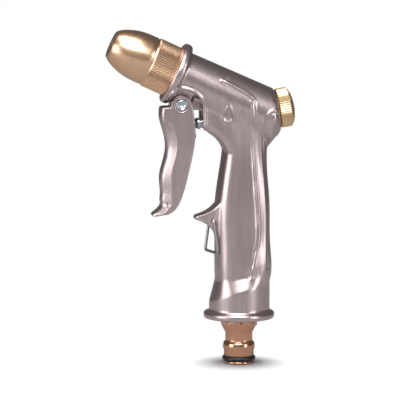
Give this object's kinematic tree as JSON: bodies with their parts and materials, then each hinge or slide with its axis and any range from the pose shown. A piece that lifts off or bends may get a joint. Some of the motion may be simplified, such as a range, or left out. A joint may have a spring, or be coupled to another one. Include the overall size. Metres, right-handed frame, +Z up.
{
  "type": "hose spray nozzle",
  "caption": "Pistol-grip metal hose nozzle with a sprung trigger valve, twist spray nozzle, rear flow knob, wire trigger latch and quick-connect inlet tail.",
  "frame": {"origin": "on the inlet tail's axis, in its bottom face", "axes": "+Z up along the tail and grip, -X the way the spray leaves, Y across the gun"},
  "size_m": [0.0957, 0.036, 0.1697],
  "materials": {
    "satin_nickel": "satin",
    "nozzle_brass": "satin",
    "tail_brass": "gloss",
    "valve_brass": "satin",
    "stainless": "satin",
    "wire_steel": "satin",
    "black_rubber": "matte"
  },
  "bodies": {
    "casting": {"gun_body": "satin_nickel", "pivot_pin": "stainless", "gland_nut": "valve_brass", "gland_o_ring": "black_rubber", "valve_seat": "valve_brass", "bonnet": "valve_brass", "bonnet_gasket": "black_rubber", "outlet_stem": "valve_brass", "stem_gasket": "black_rubber", "spray_needle": "valve_brass", "inlet_tail": "tail_brass", "inlet_o_ring": "black_rubber", "inlet_gasket": "black_rubber", "inlet_strainer": "stainless", "valve_spring": "stainless"},
    "trigger": {"trigger": "satin_nickel"},
    "valve": {"valve_plunger": "stainless", "valve_disc": "black_rubber", "disc_washer": "valve_brass", "disc_nut": "valve_brass"},
    "knob_carrier": {"spring_seat": "valve_brass", "spindle_o_ring": "black_rubber"},
    "knob": {"flow_knob": "nozzle_brass", "flow_spindle": "valve_brass"},
    "nozzle_carrier": {"nozzle_o_ring": "black_rubber"},
    "nozzle": {"twist_nozzle": "nozzle_brass"},
    "latch": {"wire_latch": "wire_steel"}
  },
  "joints": [
    {"name": "trigger_hinge", "type": "hinge", "parent": "casting", "child": "trigger", "pos_m": [-0.0299, 0, 0.1321], "axis": [0, -1, 0], "range_deg": [0, 15], "stiffness_Nm_per_rad": 1.5, "springref_deg": -22.92},
    {"name": "valve_slide", "type": "slide", "parent": "casting", "child": "valve", "axis": [0.9848, 0, 0.1736], "range_m": [0, 0.0033], "deforming": ["valve_spring"]},
    {"name": "knob_turn", "type": "hinge", "parent": "knob_carrier", "child": "knob", "pos_m": [0.019, 0, 0.1295], "axis": [0.9848, 0, 0.1736], "range_deg": [0, 725]},
    {"name": "knob_advance", "type": "slide", "parent": "casting", "child": "knob_carrier", "axis": [0.9848, 0, 0.1736], "range_m": [0, 0.0025]},
    {"name": "nozzle_twist", "type": "hinge", "parent": "nozzle_carrier", "child": "nozzle", "pos_m": [-0.0341, 0, 0.1486], "axis": [-0.9063, 0, 0.4226], "range_deg": [0, 725]},
    {"name": "nozzle_advance", "type": "slide", "parent": "casting", "child": "nozzle_carrier", "axis": [-0.9063, 0, 0.4226], "range_m": [0, 0.004]},
    {"name": "latch_hinge", "type": "hinge", "parent": "casting", "child": "latch", "pos_m": [-0.014, 0, 0.0742], "axis": [0, 1, 0], "range_deg": [0, 115]}
  ],
  "couplings": [
    {"joint": "valve_slide", "follows": "trigger_hinge", "m_per_rad": 0.0124},
    {"joint": "knob_turn", "follows": "knob_advance", "rad_per_m": 5026.5},
    {"joint": "nozzle_twist", "follows": "nozzle_advance", "rad_per_m": 3141.6}
  ]
}
